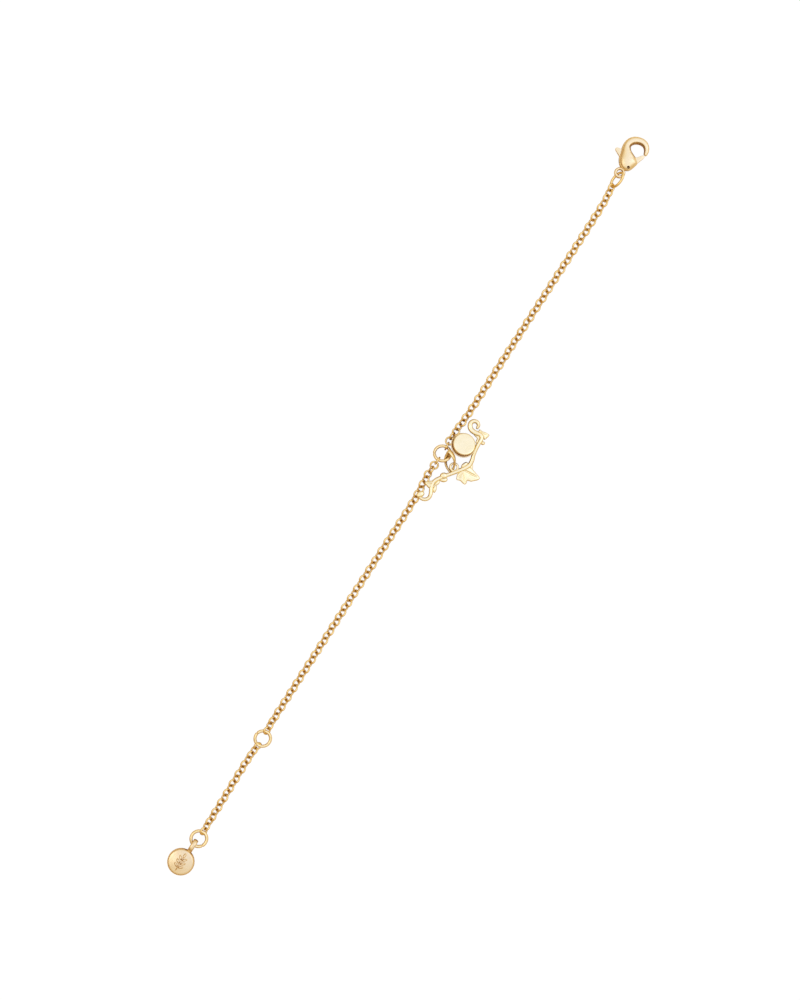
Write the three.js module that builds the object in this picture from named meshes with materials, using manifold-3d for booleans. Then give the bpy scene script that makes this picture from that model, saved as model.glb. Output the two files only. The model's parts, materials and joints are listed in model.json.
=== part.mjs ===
// A fine gold-plated charm bracelet, laid out straight on a flat surface.
// Millimetres, +Z up. X runs along the bracelet from the end tag to the clasp, Y across it.
// Every place below is given from a working origin on the surface, and the last lines move the
// finished group so that the middle of its footprint lies at the origin.
import * as THREE from 'three';
import { mergeVertices } from 'three/addons/utils/BufferGeometryUtils.js';
import Module from 'manifold-3d';

const wasm = await Module();
wasm.setup();

// ---------------------------------------------------------------- driving dimensions
const ROUND_SIDES = 8; // sides of a round wire's section
const RING_STEPS = 28; // steps round a jump ring

// A rolo chain: links of 0.43 mm wire, 2.2 mm over, turned 45 degrees to the surface and crosswise
// to each other. Each run is one tube of the links' own envelope.
const CHAIN = { radius: 0.82, sides: 8, step: 4 };
const CHAIN_ROUTES = {
  chain_upper: [
    [17.75, -1.45], [20, -1.35], [23, -1.55], [28, -1.8], [40, -1.83],
    [54, -1.9], [68, -2.0], [80, -2.07], [85, -2.02], [88.3, -1.85],
  ],
  chain_lower: [
    [-60.35, -1.55], [-48, -1.59], [-34, -1.65], [-20, -1.71], [-8, -1.81],
    [0, -1.85], [4, -1.8], [7, -1.55], [10, -1.33], [13.0, -1.4],
  ],
  chain_extender: [[-87.85, -1.7], [-82, -1.68], [-75, -1.56], [-69, -1.5], [-64.92, -1.45]],
};

// Round jump rings: middle of the ring, radius to the middle of the wire, and the lean that each
// one has where it rests on its neighbours, turned about X and then about Y.
const JUMP_RINGS = {
  centre_ring: { x: 15.4, y: -1.58, z: 1.433, radius: 1.865, wire: 0.325, aboutX: -9.95, aboutY: 17.8 },
  extender_ring: { x: -62.64, y: -1.83, z: 0.82, radius: 1.81, wire: 0.33, aboutX: 12, aboutY: 0 },
  end_ring: { x: -90.13, y: -1.76, z: 0.87, radius: 1.82, wire: 0.33, aboutX: 9, aboutY: 2.7 },
};

// The oval link between the clasp's eye and the chain.
const CLASP_LINK = {
  x: 90.43, y: -1.77, z: 1.31, halfLength: 1.88, halfWidth: 1.2, wire: 0.285,
  aboutX: -38, aboutY: -21, aboutZ: -8,
};

// The bail: a pointed oval seen from above, lying in a plane that climbs by slopeX and slopeY.
// Its flat wire is narrow where it runs through the charm's loop and broad at the other end, and
// one arm is hammered broader, downwards, where it turns round the ring.
const BAIL = {
  x: 14.738, y: -4.051, z: 1.782, halfLength: 2.365, halfWidth: 1.052, taper: 0.376, aboutZ: 38.7,
  slopeX: 0.956, slopeY: -0.298, steps: 40,
  halfThickness: 0.18, narrowHalfWidth: 0.25, broadHalfWidth: 0.56, apron: 0.32, apronAt: 72,
};

// The lobster clasp. Its middle plane is half its thickness above the surface.
const CLASP = { middle: 1.5, sectionSides: 16, stepsPerRow: 2 };
// Sections of the body and hook, from the end at the eye round to the hook's tip: the outline's
// outer and inner edge points and half the thickness between them.
const CLASP_SECTIONS = [
  // outerX, outerY, innerX, innerY, halfThickness
  [93.2, -1.45, 93.2, -2, 0.4],
  [93.4, -0.7, 93.45, -2.72, 1.02],
  [94.1, 0.1, 94.05, -3.22, 1.34],
  [94.9, 0.63, 95.1, -3.58, 1.48],
  [95.7, 0.86, 96.05, -3.75, 1.46],
  [96.2, 0.97, 96.6, -3.2, 1.4],
  [96.7, 1.11, 97.05, -2.6, 1.34],
  [97.2, 1.27, 97.45, -1.72, 1.26],
  [97.8, 1.39, 97.92, -0.92, 1.16],
  [98.5, 1.43, 98.58, -0.4, 1.03],
  [99.5, 1.28, 99.25, -0.55, 0.93],
  [100.5, 0.73, 99.75, -1.05, 0.88],
  [101.3, -0.3, 100.05, -1.65, 0.82],
  [101.7, -1.7, 100.15, -2.2, 0.76],
  [101.55, -2.95, 100.08, -2.78, 0.7],
  [100.9, -3.9, 99.75, -3.25, 0.62],
  [100, -4.45, 99.3, -3.56, 0.55],
  [99.1, -4.62, 98.92, -3.7, 0.46],
  [98.62, -4.5, 98.7, -3.86, 0.33],
  [98.52, -4.35, 98.58, -4, 0.16],
];
const CLASP_EYE = { x: 92.14, y: -1.41, radius: 0.965, wire: 0.265 };
const PIVOT = { x: 94.05, y: -2.43 }; // the rivet's axis, along Z
const RIVET = { radius: 0.3, halfLength: 1.02, sides: 24 };
const RIVET_HOLE = { body: 0.34, lever: 0.36 };
// The lever's outline round the rivet: gate to the right, thumb tab at the top left.
const LEVER = { thickness: 0.84, slot: 1.0, clearance: 0.07, bossRadius: 0.56, openAngle: 22 };
const LEVER_GATE = [
  [2.05, -1.27], [3.15, -1.67], [4.19, -1.97], [4.45, -1.41], [2.97, -0.32],
];
const LEVER_TAB = [
  [2.71, 1.89], [2.87, 3.59], [2.63, 4.59], [2.41, 4.77], [2.16, 4.71], [1.43, 3.15],
];

// The charm: one casting. Places are from the middle of its disc, and Z from the stem's underside.
// It leans because its disc and its tail lie on the chain and its leaf tips on the surface.
const CHARM = { x: 19.6, y: -4.7, z: 0.806, slopeX: -0.048, slopeY: 0.095 };
const STEM_SECTIONS = [
  // x, y, z, halfWidth
  [5.15, -0.5, 0.3, 0.32],
  [5.75, -0.42, 0.42, 0.4],
  [6.2, 0.2, 0.5, 0.44],
  [6.05, 0.95, 0.5, 0.48],
  [5.38, 1.4, 0.5, 0.52],
  [4.58, 1.2, 0.5, 0.56],
  [4.05, 0.6, 0.55, 0.58],
  [3.88, -0.2, 0.65, 0.58],
  [3.98, -1.1, 0.75, 0.54],
  [4.12, -1.8, 0.8, 0.5],
  [3.95, -2.35, 0.85, 0.5],
  [3.4, -2.62, 0.9, 0.5],
  [2.4, -2.66, 0.95, 0.48],
  [0.9, -2.8, 0.9, 0.46],
  [-0.7, -3.1, 0.75, 0.45],
  [-1.9, -3.5, 0.6, 0.5],
  [-3.2, -3.55, 0.52, 0.52],
  [-4.4, -3.0, 0.5, 0.5],
  [-5.5, -2.22, 0.5, 0.48],
  [-6.7, -1.35, 0.5, 0.46],
  [-7.9, -0.42, 0.5, 0.46],
  [-9.0, 0.38, 0.5, 0.46],
  [-10.3, 1.18, 0.5, 0.46],
  [-11.2, 1.38, 0.5, 0.46],
  [-12.3, 1.12, 0.5, 0.46],
  [-13.5, 0.5, 0.5, 0.46],
  [-14.4, 0.32, 0.5, 0.45],
  [-15.15, 0.62, 0.5, 0.43],
  [-15.6, 1.3, 0.5, 0.4],
  [-15.7, 2.05, 0.5, 0.34],
];
const STEM = { halfHeight: 0.46, stepsPerRow: 2 };
// The disc stands on a thin flange. It is set on the stem with one side raised: it is turned about
// Y by lean degrees and then about Z by heading degrees.
const DISC = {
  x: 0.05, y: 0.2, z: 1.63, radius: 2.57, halfHeight: 0.75, edge: 0.12,
  flangeRadius: 2.85, flange: 0.25, lean: 14, heading: 13, sides: 40,
};
const LOOP = { x: -5.5, y: -0.8, z: 0.554, radius: 0.89, wire: 0.23 };
const LEAF = { thickness: 0.5, droop: 0.12 };
// Leaf outlines: straight runs between the points. The leaf rises by rise at its foot and falls
// away from there in the direction toward.
const LEAVES = {
  three_lobed: {
    foot: [-4.7, -3.1], rise: 0.25, toward: [0.2, -1],
    outline: [
      [-3.45, -3.7], [-3.56, -4.81], [-3.85, -5.87], [-4.24, -7.4], [-5.0, -7.2], [-5.66, -6.47],
      [-6.19, -5.98], [-6.4, -5.06], [-7.0, -5.3], [-7.56, -5.15], [-7.55, -4.5], [-7.36, -3.71],
      [-7.68, -2.85], [-7.07, -2.5], [-6.3, -2.25], [-4.7, -2.9],
    ],
  },
  top: {
    foot: [4.4, -1.6], rise: 0.3, toward: [0.3, -1],
    outline: [
      [5.2, -1.0], [5.08, -1.93], [5.32, -2.7], [5.36, -3.82], [4.75, -3.8], [3.6, -3.45],
      [4.1, -2.7], [4.0, -1.9], [4.2, -1.2],
    ],
  },
  small: {
    foot: [-11.4, 1.5], rise: 0.28, toward: [-0.3, 1],
    outline: [[-10.75, 1.5], [-10.94, 2.03], [-12.0, 3.18], [-12.45, 2.75], [-12.79, 1.4], [-12.0, 1.1]],
  },
};
// Rounded buds, berries and leaflets: middle, half sizes along and across, half height, direction.
const BUDS = [
  // x, y, z, halfLong, halfWide, halfHigh, degrees
  [-3.73, -2.56, 0.55, 0.92, 0.46, 0.4, -19], // leaflet inside the bend
  [2.8, -3.46, 0.75, 0.5, 0.42, 0.4, -60], // berry beside the disc
  [-8.43, 0.14, 0.6, 0.88, 0.74, 0.5, -57], // knot on the stem
  [-9.12, -0.26, 0.4, 0.84, 0.5, 0.36, -57], // bead tucked beside the knot
  [-10.68, 0.5, 0.45, 0.84, 0.38, 0.34, -15], // leaflet
  [-12.12, 0.26, 0.45, 0.93, 0.42, 0.34, 20], // leaflet
  [-14.98, 2.45, 0.5, 0.98, 0.72, 0.46, -33], // bud at the tail
];
const STRAND_SECTIONS = [
  // x, y, z, halfWidth: the thin inner strand between stem and disc
  [3.95, -0.5, 0.5, 0.26],
  [3.6, -0.9, 0.5, 0.28],
  [3.5, -1.7, 0.55, 0.3],
  [3.05, -2.15, 0.65, 0.3],
  [2.2, -2.2, 0.8, 0.28],
];

// The end tag: a domed pebble with a flat back, and the upright eye soldered to its rim.
const TAG = { x: -96.8, y: -1.1, sides: 40 };
const TAG_PROFILE = [
  // radius, z
  [0, 0], [2.45, 0], [2.82, 0.14], [3.06, 0.45], [3.15, 0.9], [3.06, 1.34],
  [2.78, 1.7], [2.3, 1.98], [1.6, 2.18], [0.8, 2.28], [0, 2.3],
];
const TAG_EYE = {
  x: -92.2, y: -1.45, z: 1.2, halfLength: 1.42, halfHeight: 0.9, halfThickness: 0.26, halfWidth: 0.62,
};

// ---------------------------------------------------------------- materials
const gold = (color, roughness) => new THREE.MeshStandardMaterial({ color, roughness, metalness: 1 });
const SATIN_GOLD = gold(0xdcb67c, 0.34);
const CHAIN_GOLD = gold(0xd3a55c, 0.26);
const CAST_GOLD = gold(0xe6cb9c, 0.22);

// ---------------------------------------------------------------- helpers
const rad = THREE.MathUtils.degToRad;
const range = (count) => Array.from({ length: count }, (_, i) => i);

// Six times the volume inside a triangle mesh, negative where its faces point inwards.
function signedVolume(points, faces) {
  const corner = faces.map((i) => points[i]);
  let sum = 0;
  for (let i = 0; i < corner.length; i += 3)
    sum += corner[i].dot(corner[i + 1].clone().cross(corner[i + 2]));
  return sum;
}

// A skin over rings of points with the same count: closed into a loop, or with flat fans on its ends.
function skin(rings, loop = false) {
  const around = rings[0].length;
  const points = rings.flat();
  const faces = [];
  const spans = loop ? rings.length : rings.length - 1;
  for (const i of range(spans))
    for (const j of range(around)) {
      const [a, b] = [i * around + j, i * around + ((j + 1) % around)];
      const [c, d] = [a, b].map((k) => (k + around) % points.length);
      faces.push(a, c, d, a, d, b);
    }
  if (!loop) {
    const middle = (ring) => ring.reduce((s, p) => s.add(p), new THREE.Vector3()).divideScalar(around);
    const [first, last] = [points.length, points.length + 1];
    points.push(middle(rings[0]), middle(rings.at(-1)));
    const lastRing = around * (rings.length - 1);
    for (const j of range(around)) {
      const k = (j + 1) % around;
      faces.push(first, j, k, last, lastRing + k, lastRing + j);
    }
  }
  if (signedVolume(points, faces) < 0) faces.reverse();
  return new THREE.BufferGeometry().setFromPoints(points).setIndex(faces);
}

// An elliptical wire along points whose plane is level: size(i) gives its half sizes across and up.
function wireAlong(path, size, loop = false, sides = ROUND_SIDES) {
  const last = path.length - 1;
  const at = (i) => path[loop ? (i + path.length) % path.length : THREE.MathUtils.clamp(i, 0, last)];
  const rings = path.map((p, i) => {
    const along = at(i + 1).clone().sub(at(i - 1)).setZ(0).normalize();
    const across = new THREE.Vector3(-along.y, along.x, 0);
    const { wide, high } = size(i);
    return range(sides).map((j) => {
      const turn = (2 * Math.PI * j) / sides;
      const up = new THREE.Vector3(0, 0, high * Math.sin(turn));
      return p.clone().addScaledVector(across, wide * Math.cos(turn)).add(up);
    });
  });
  return skin(rings, loop);
}

// Points on a level oval, with the middle at the origin.
function oval(halfLength, halfWidth) {
  return range(RING_STEPS).map((i) => {
    const turn = (2 * Math.PI * i) / RING_STEPS;
    return new THREE.Vector3(halfLength * Math.cos(turn), halfWidth * Math.sin(turn), 0);
  });
}

// A smooth curve through table rows of [x, y, z, value]: points, and the value at each of them.
function through(rows, stepsPerRow) {
  const curve = new THREE.CatmullRomCurve3(rows.map(([x, y, z]) => new THREE.Vector3(x, y, z)));
  const steps = (rows.length - 1) * stepsPerRow;
  const points = range(steps + 1).map((i) => curve.getPoint(i / steps));
  const values = range(steps + 1).map((i) => {
    const row = Math.min(Math.floor(i / stepsPerRow), rows.length - 2);
    return THREE.MathUtils.lerp(rows[row][3], rows[row + 1][3], i / stepsPerRow - row);
  });
  return { points, values };
}

// Geometry to manifold-3d solid and back.
function solid(geometry) {
  const bare = geometry.clone();
  bare.deleteAttribute('normal');
  bare.deleteAttribute('uv');
  const merged = mergeVertices(bare, 1e-5);
  return new wasm.Manifold(new wasm.Mesh({
    numProp: 3,
    vertProperties: merged.attributes.position.array,
    triVerts: new Uint32Array(merged.index.array),
  }));
}

function geometryOf(made) {
  const { vertProperties, triVerts } = made.getMesh();
  const geometry = new THREE.BufferGeometry();
  geometry.setAttribute('position', new THREE.BufferAttribute(new Float32Array(vertProperties), 3));
  geometry.setIndex(new THREE.BufferAttribute(new Uint32Array(triVerts), 1));
  return geometry;
}

const joined = (geometries) => geometries.map(solid).reduce((all, one) => all.add(one));

function outlineShape(points) {
  return new THREE.Shape(points.map(([x, y]) => new THREE.Vector2(x, y)));
}

function mesh(name, geometry, material) {
  const made = new THREE.Mesh(geometry, material);
  made.name = name;
  return made;
}

// A mesh turned about its own X, then Y, then Z, and set down at its place.
function placed(made, { x, y, z, aboutX = 0, aboutY = 0, aboutZ = 0 }) {
  made.rotation.set(rad(aboutX), rad(aboutY), rad(aboutZ), 'ZYX');
  made.position.set(x, y, z);
  return made;
}

// ---------------------------------------------------------------- chains, rings and links
function chain(name) {
  const route = CHAIN_ROUTES[name].map(([x, y]) => new THREE.Vector3(x, y, CHAIN.radius));
  const curve = new THREE.CatmullRomCurve3(route);
  const section = new THREE.Shape(
    range(CHAIN.sides).map((i) => {
      const turn = (2 * Math.PI * i) / CHAIN.sides;
      return new THREE.Vector2(CHAIN.radius * Math.cos(turn), CHAIN.radius * Math.sin(turn));
    }),
  );
  const steps = Math.round(curve.getLength() / CHAIN.step);
  return mesh(name, new THREE.ExtrudeGeometry(section, { steps, extrudePath: curve }), CHAIN_GOLD);
}

// A level oval ring of round wire.
function ringOf(halfLength, halfWidth, wire) {
  return wireAlong(oval(halfLength, halfWidth), () => ({ wide: wire, high: wire }), true);
}

function jumpRing(name) {
  const { radius, wire, ...place } = JUMP_RINGS[name];
  return placed(mesh(name, ringOf(radius, radius, wire), CHAIN_GOLD), place);
}

function claspLink() {
  const { halfLength, halfWidth, wire, ...place } = CLASP_LINK;
  return placed(mesh('clasp_link', ringOf(halfLength, halfWidth, wire), CHAIN_GOLD), place);
}

// The bail's path is laid out level, tipped onto its plane, and given a section whose broad
// side stands square to that plane.
function charmBail() {
  const long = new THREE.Vector3(Math.cos(rad(BAIL.aboutZ)), Math.sin(rad(BAIL.aboutZ)), 0);
  const wide = new THREE.Vector3(-long.y, long.x, 0);
  const climb = (v) => v.setZ(BAIL.slopeX * v.x + BAIL.slopeY * v.y);
  const turns = range(BAIL.steps).map((i) => (2 * Math.PI * i) / BAIL.steps);
  const path = turns.map((turn) => {
    const across = BAIL.halfWidth * Math.sin(turn) * (1 - BAIL.taper * Math.cos(turn) ** 2);
    const level = long.clone().multiplyScalar(BAIL.halfLength * Math.cos(turn));
    return climb(level.addScaledVector(wide, across));
  });
  const normal = new THREE.Vector3(-BAIL.slopeX, -BAIL.slopeY, 1).normalize();
  const rings = path.map((p, i) => {
    const along = path[(i + 1) % BAIL.steps].clone().sub(path.at(i - 1)).normalize();
    const side = new THREE.Vector3().crossVectors(normal, along);
    const upper = THREE.MathUtils.smoothstep(Math.cos(turns[i]), -0.2, 0.6);
    const apron = BAIL.apron * Math.max(Math.cos(turns[i] - rad(BAIL.apronAt)), 0) ** 3;
    const broad = THREE.MathUtils.lerp(BAIL.narrowHalfWidth, BAIL.broadHalfWidth, upper) + apron;
    return range(ROUND_SIDES).map((j) => {
      const turn = (2 * Math.PI * j) / ROUND_SIDES;
      return p.clone()
        .addScaledVector(side, BAIL.halfThickness * Math.cos(turn))
        .addScaledVector(normal, broad * Math.sin(turn) - apron);
    });
  });
  const { x, y, z } = BAIL;
  return placed(mesh('charm_bail', skin(rings, true), CHAIN_GOLD), { x, y, z });
}

// ---------------------------------------------------------------- clasp
// The body and hook are one loft: each section is an ellipse between its two edge points.
function claspLoft() {
  const edge = (x, y) => CLASP_SECTIONS.map((row) => [row[x], row[y], 0, row[4]]);
  const outer = through(edge(0, 1), CLASP.stepsPerRow);
  const inner = through(edge(2, 3), CLASP.stepsPerRow);
  const rings = outer.points.map((from, i) => {
    const middle = from.clone().add(inner.points[i]).divideScalar(2);
    const half = from.clone().sub(middle);
    return range(CLASP.sectionSides).map((j) => {
      const turn = (2 * Math.PI * j) / CLASP.sectionSides;
      const height = outer.values[i] * Math.sin(turn);
      return middle.clone().addScaledVector(half, Math.cos(turn)).setZ(height);
    });
  });
  return skin(rings);
}

function cylinder(radius, halfLength, sides = RIVET.sides) {
  return new THREE.CylinderGeometry(radius, radius, 2 * halfLength, sides).rotateX(Math.PI / 2);
}

// The lever's flat plate, grown all round by a margin, about the rivet's axis.
function leverPlate(thickness, margin = 0) {
  const boss = range(7).map((i) => {
    const turn = rad(190 + i * 20);
    return [LEVER.bossRadius * Math.cos(turn), LEVER.bossRadius * Math.sin(turn)];
  });
  const shape = outlineShape([...boss, ...LEVER_GATE, ...LEVER_TAB]);
  const plate = new THREE.ExtrudeGeometry(shape, {
    depth: thickness,
    bevelEnabled: margin > 0,
    bevelSize: margin,
    bevelThickness: 0,
    bevelSegments: 1,
  });
  return plate.translate(0, 0, -thickness / 2);
}

function claspBody() {
  const { x, y, radius, wire } = CLASP_EYE;
  const eye = ringOf(radius, radius, wire).translate(x, y, 0);
  const slotSteps = 4;
  const slots = range(slotSteps + 1).map((i) =>
    leverPlate(LEVER.slot, LEVER.clearance)
      .rotateZ(rad((LEVER.openAngle * i) / slotSteps))
      .translate(PIVOT.x, PIVOT.y, 0));
  const hole = cylinder(RIVET_HOLE.body, 2 * CLASP.middle).translate(PIVOT.x, PIVOT.y, 0);
  const made = joined([claspLoft(), eye]).subtract(joined(slots)).subtract(solid(hole));
  const body = mesh('clasp_body', geometryOf(made), SATIN_GOLD);
  body.position.z = CLASP.middle;
  return body;
}

function claspLever() {
  const hole = cylinder(RIVET_HOLE.lever, LEVER.thickness);
  const made = solid(leverPlate(LEVER.thickness)).subtract(solid(hole));
  return placed(mesh('clasp_lever', geometryOf(made), SATIN_GOLD), { ...PIVOT, z: CLASP.middle });
}

function claspRivet() {
  const pin = cylinder(RIVET.radius, RIVET.halfLength);
  return placed(mesh('clasp_rivet', pin, SATIN_GOLD), { ...PIVOT, z: CLASP.middle });
}

// ---------------------------------------------------------------- charm
function stemPiece(rows, halfHeight) {
  const { points, values } = through(rows, STEM.stepsPerRow);
  return wireAlong(points, (i) => ({ wide: values[i], high: halfHeight }));
}

function disc() {
  const { x, y, z, radius, halfHeight, edge, flangeRadius, flange, lean, heading, sides } = DISC;
  const step = flange - halfHeight;
  const profile = [
    [0, -halfHeight], [flangeRadius, -halfHeight], [flangeRadius, step], [radius, step],
    [radius, halfHeight - edge], [radius - edge, halfHeight], [0, halfHeight],
  ].map(([r, height]) => new THREE.Vector2(r, height));
  return new THREE.LatheGeometry(profile, sides)
    .rotateX(Math.PI / 2)
    .rotateY(rad(lean))
    .rotateZ(rad(heading))
    .translate(x, y, z);
}

// A flat leaf that falls away from its foot in one direction.
function leaf({ foot, rise, toward, outline }) {
  const local = outline.map(([x, y]) => [x - foot[0], y - foot[1]]);
  const plate = new THREE.ExtrudeGeometry(outlineShape(local), {
    depth: LEAF.thickness,
    bevelEnabled: false,
  });
  const fall = new THREE.Vector2(...toward).normalize();
  const position = plate.attributes.position;
  for (const i of range(position.count)) {
    const out = position.getX(i) * fall.x + position.getY(i) * fall.y;
    position.setZ(i, position.getZ(i) + rise - LEAF.droop * Math.max(out, 0));
  }
  return plate.translate(foot[0], foot[1], 0);
}

function bud([x, y, z, halfLong, halfWide, halfHigh, degrees]) {
  return new THREE.SphereGeometry(1, 12, 8)
    .scale(halfLong, halfWide, halfHigh)
    .rotateZ(rad(degrees))
    .translate(x, y, z);
}

function charm() {
  const loop = ringOf(LOOP.radius, LOOP.radius, LOOP.wire).translate(LOOP.x, LOOP.y, LOOP.z);
  const made = joined([
    stemPiece(STEM_SECTIONS, STEM.halfHeight),
    stemPiece(STRAND_SECTIONS, 0.28),
    disc(),
    loop,
    ...Object.values(LEAVES).map(leaf),
    ...BUDS.map(bud),
  ]);
  return placed(mesh('charm', geometryOf(made), CAST_GOLD), {
    x: CHARM.x,
    y: CHARM.y,
    z: CHARM.z,
    aboutX: THREE.MathUtils.radToDeg(Math.atan(CHARM.slopeY)),
    aboutY: -THREE.MathUtils.radToDeg(Math.atan(CHARM.slopeX)),
  });
}

// ---------------------------------------------------------------- tag
function tag() {
  const profile = TAG_PROFILE.map(([r, z]) => new THREE.Vector2(r, z));
  const pebble = new THREE.LatheGeometry(profile, TAG.sides).rotateX(Math.PI / 2);
  pebble.translate(TAG.x, TAG.y, 0);
  const { halfThickness, halfWidth, halfLength, halfHeight } = TAG_EYE;
  const eyePath = oval(halfLength, halfHeight);
  const eye = wireAlong(eyePath, () => ({ wide: halfThickness, high: halfWidth }), true);
  eye.rotateX(Math.PI / 2).translate(TAG_EYE.x, TAG_EYE.y, TAG_EYE.z);
  return mesh('tag', geometryOf(joined([pebble, eye])), SATIN_GOLD);
}

// ---------------------------------------------------------------- the bracelet
const bracelet = new THREE.Group();
bracelet.add(claspBody(), claspLever(), claspRivet(), claspLink());
bracelet.add(...Object.keys(CHAIN_ROUTES).map(chain));
bracelet.add(...Object.keys(JUMP_RINGS).map(jumpRing));
bracelet.add(charmBail(), charm(), tag());

// The origin is the middle of the footprint, on the surface.
bracelet.updateMatrixWorld(true);
const bounds = new THREE.Box3().setFromObject(bracelet, true);
const middle = bounds.getCenter(new THREE.Vector3());
bracelet.position.set(-middle.x, -middle.y, -bounds.min.z);

export default bracelet;
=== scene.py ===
# %% [markdown]
# # A fine gold charm bracelet
# The bracelet lies straight on a white table: an end tag, a short extender chain, two long runs
# of rolo chain with jump rings between them, a lobster clasp, and a charm on a bail: a round
# disc on a vine stem with leaves. The CAD model gives every piece its place and its size, with
# the chains as plain tubes. Here each piece gets the surface of the real one, and it is made
# from formulas: whole arrays of points in numpy, put into a Blender mesh in one go.

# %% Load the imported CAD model
import json

import bpy
import numpy as np
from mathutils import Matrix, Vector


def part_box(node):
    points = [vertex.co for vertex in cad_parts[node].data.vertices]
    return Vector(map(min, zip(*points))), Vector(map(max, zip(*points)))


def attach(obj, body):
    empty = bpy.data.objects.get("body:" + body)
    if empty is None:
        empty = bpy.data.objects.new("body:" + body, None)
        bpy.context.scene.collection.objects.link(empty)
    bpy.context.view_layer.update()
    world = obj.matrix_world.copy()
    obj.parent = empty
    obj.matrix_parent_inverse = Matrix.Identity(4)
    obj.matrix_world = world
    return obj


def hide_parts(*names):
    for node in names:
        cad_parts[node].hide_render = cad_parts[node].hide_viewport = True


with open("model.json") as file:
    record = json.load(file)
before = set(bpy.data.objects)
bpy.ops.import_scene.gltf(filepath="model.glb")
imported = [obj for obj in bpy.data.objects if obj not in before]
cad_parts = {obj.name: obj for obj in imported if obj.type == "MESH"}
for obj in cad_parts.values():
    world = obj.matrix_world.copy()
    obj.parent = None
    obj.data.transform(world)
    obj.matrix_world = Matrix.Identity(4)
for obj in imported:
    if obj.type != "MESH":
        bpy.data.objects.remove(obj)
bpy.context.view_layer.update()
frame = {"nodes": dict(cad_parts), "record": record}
MM = 0.001  # a millimetre in Blender's metres
print("CAD nodes:", sorted(frame["nodes"]))

# %% [markdown]
# ## One drawing for all the pieces
# Tables of numbers are easier to read in millimetres, measured from one drawing origin on the
# table. The clasp's rivet is a piece whose place is known in both, so its CAD box tells how far
# the drawing has to be moved to lie on the CAD model. Nothing is fitted by eye.

# %% The drawing's origin, from the rivet's CAD box
PIVOT = np.array([94.05, -2.43, 1.5])  # the rivet's middle on the drawing
rivet_low, rivet_high = (np.array(corner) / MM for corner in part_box("clasp_rivet"))
DRAWING = (rivet_low + rivet_high) / 2 - PIVOT
print("drawing to frame, mm:", DRAWING.round(3))

# %% [markdown]
# ## From a grid of points to a closed skin
# A tube, a ring, a leaf and a bead are all the same thing to a modeller: rows of points, each
# row a closed ring, and four-sided faces between neighbours. Only the ends differ. A ring's last
# row joins its first, and any other skin is closed with a fan of triangles. If the enclosed
# volume comes out negative the faces point inwards, so they are reversed: that one test keeps
# all normals right, whichever way round a formula happens to run.


# %% Skins
def skin(grid, loop=False):
    """Points and faces of a closed skin over a grid (rows, columns, 3). Point (i, j) is joined
    to its neighbours (i, j + 1), (i + 1, j + 1) and (i + 1, j), where j wraps round."""
    rows, columns = grid.shape[:2]
    total = rows * columns
    i = columns * np.arange(rows if loop else rows - 1)[:, None]
    j = np.arange(columns)
    k = (j + 1) % columns
    after = (i + columns) % total
    quads = np.stack([i + j, i + k, after + k, after + j], axis=-1).reshape(-1, 4)
    points = grid.reshape(-1, 3)
    fans = np.zeros((0, 3), int)
    if not loop:
        points = np.vstack([points, grid[0].mean(axis=0), grid[-1].mean(axis=0)])
        last = total - columns
        first_fan = np.stack([np.full(columns, total), k, j], axis=-1)
        last_fan = np.stack([np.full(columns, total + 1), last + j, last + k], axis=-1)
        fans = np.vstack([first_fan, last_fan])
    triangles = np.vstack([quads[:, :3], quads[:, [0, 2, 3]], fans])
    a, b, c = (points[triangles[:, n]] for n in range(3))
    if np.einsum("ij,ij->", a - points[0], np.cross(b - points[0], c - points[0])) < 0:
        quads, fans = quads[:, ::-1], fans[:, ::-1]
    return points, quads, fans


def joined(skins):
    """Several skins as one set of points and faces: each one's numbers move up by the points
    that came before."""
    starts = np.cumsum([0] + [len(points) for points, _, _ in skins[:-1]])
    points = np.vstack([s[0] for s in skins])
    quads = np.vstack([s[1] + n for s, n in zip(skins, starts)])
    fans = np.vstack([s[2] + n for s, n in zip(skins, starts)])
    return points, quads, fans


# %% From skins to meshes, objects and pieces
def mesh_from(name, skins):
    """A Blender mesh, in the frame's metres, from skins in drawing millimetres."""
    points, quads, fans = joined(skins)
    mesh = bpy.data.meshes.new(name)
    mesh.from_pydata((points + DRAWING) * MM, [], quads.tolist() + fans.tolist())
    mesh.update()
    return mesh


def placed(name, data):
    """A new object that holds the data, at the origin of the scene."""
    made = bpy.data.objects.new(name, data)
    bpy.context.scene.collection.objects.link(made)
    return made


def piece(name, mesh, slot, node, body="bracelet", crease=None, finish=None):
    """Shows a mesh instead of a CAD node, riding on the same body. Its finish is the slot's own
    unless another is named. Edges sharper than crease degrees stay sharp, and the rest is
    shaded smooth."""
    mesh.shade_smooth()
    if crease:
        mesh.set_sharp_from_angle(angle=np.radians(crease))
    mesh.materials.clear()
    mesh.materials.append(FINISH[finish or slot])
    made = placed(name, mesh)
    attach(made, body)
    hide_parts(node)
    low, high = (np.array(v) / MM for v in (made.bound_box[0], made.bound_box[6]))
    print(f"{name}: {len(mesh.polygons)} faces, {(high - low).round(2)} mm")
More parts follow.
